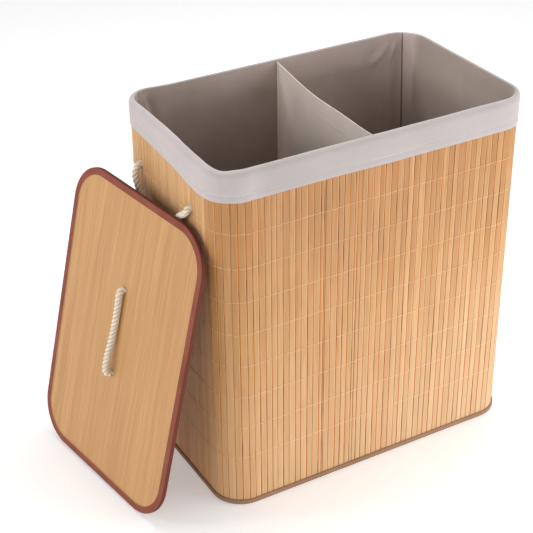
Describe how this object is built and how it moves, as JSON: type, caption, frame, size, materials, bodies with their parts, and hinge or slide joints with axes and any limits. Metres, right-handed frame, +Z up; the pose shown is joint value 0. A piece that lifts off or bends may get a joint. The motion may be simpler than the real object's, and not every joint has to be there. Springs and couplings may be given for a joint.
{
  "type": "laundry hamper with two bins",
  "caption": "Rectangular slatted bamboo laundry hamper with a divided cloth bag, rope handles at its ends and a veneered lid leaning beside it.",
  "frame": {"origin": "middle of the underside of the hamper's base, on the floor", "axes": "+X along the hamper towards the end away from the lid, +Y from its front to its back, +Z up"},
  "size_m": [0.7327, 0.369, 0.6],
  "materials": {
    "bamboo": "satin, split bamboo",
    "veneer": "satin, bamboo veneer",
    "fibreboard": "matte",
    "twine": "cotton thread",
    "rope": "twisted cotton",
    "cuff_cloth": "plain weave",
    "bag_cloth": "plain weave",
    "base_cloth": "plain weave",
    "hoop_wire": "drawn wire",
    "binding_leather": "imitation leather"
  },
  "bodies": {
    "hamper": {"slat_mat_back": "bamboo", "slat_mat_left": "bamboo", "slat_mat_front": "bamboo", "slat_mat_right": "bamboo", "slat_mat_back_right_corner": "bamboo", "slat_mat_back_left_corner": "bamboo", "slat_mat_front_left_corner": "bamboo", "slat_mat_front_right_corner": "bamboo", "twine_row_1": "twine", "twine_row_2": "twine", "twine_row_3": "twine", "twine_row_4": "twine", "twine_row_5": "twine", "twine_row_6": "twine", "twine_row_7": "twine", "twine_row_8": "twine", "bag_cuff": "cuff_cloth", "rim_hoop": "hoop_wire", "bag_wall": "bag_cloth", "bag_floor": "bag_cloth", "bag_divider": "bag_cloth", "bottom_binding": "base_cloth", "base_cover": "base_cloth", "base_board": "fibreboard", "left_handle_knot_front": "rope", "left_handle_knot_back": "rope", "right_handle_knot_front": "rope", "right_handle_knot_back": "rope"},
    "lid": {"lid_core": "fibreboard", "lid_veneer": "veneer", "lid_back_sheet": "veneer", "lid_binding": "binding_leather", "lid_handle_rope": "rope", "lid_handle_knot_lower": "rope", "lid_handle_knot_upper": "rope"},
    "left_handle": {"left_handle_rope": "rope"},
    "right_handle": {"right_handle_rope": "rope"}
  },
  "joints": [
    {"name": "lid_lift_off", "type": "slide", "parent": "hamper", "child": "lid", "axis": [-0.9619, -0.1515, 0.2275], "range_m": [0, 0.3]},
    {"name": "right_handle_swing", "type": "hinge", "parent": "hamper", "child": "right_handle", "pos_m": [0.2811, 0.0126, 0.5095], "axis": [0, -1, 0], "range_deg": [0, 150]},
    {"name": "left_handle_swing", "type": "hinge", "parent": "hamper", "child": "left_handle", "pos_m": [-0.2811, 0.0126, 0.5095], "axis": [0, 1, 0], "range_deg": [0, 1.5]}
  ]
}
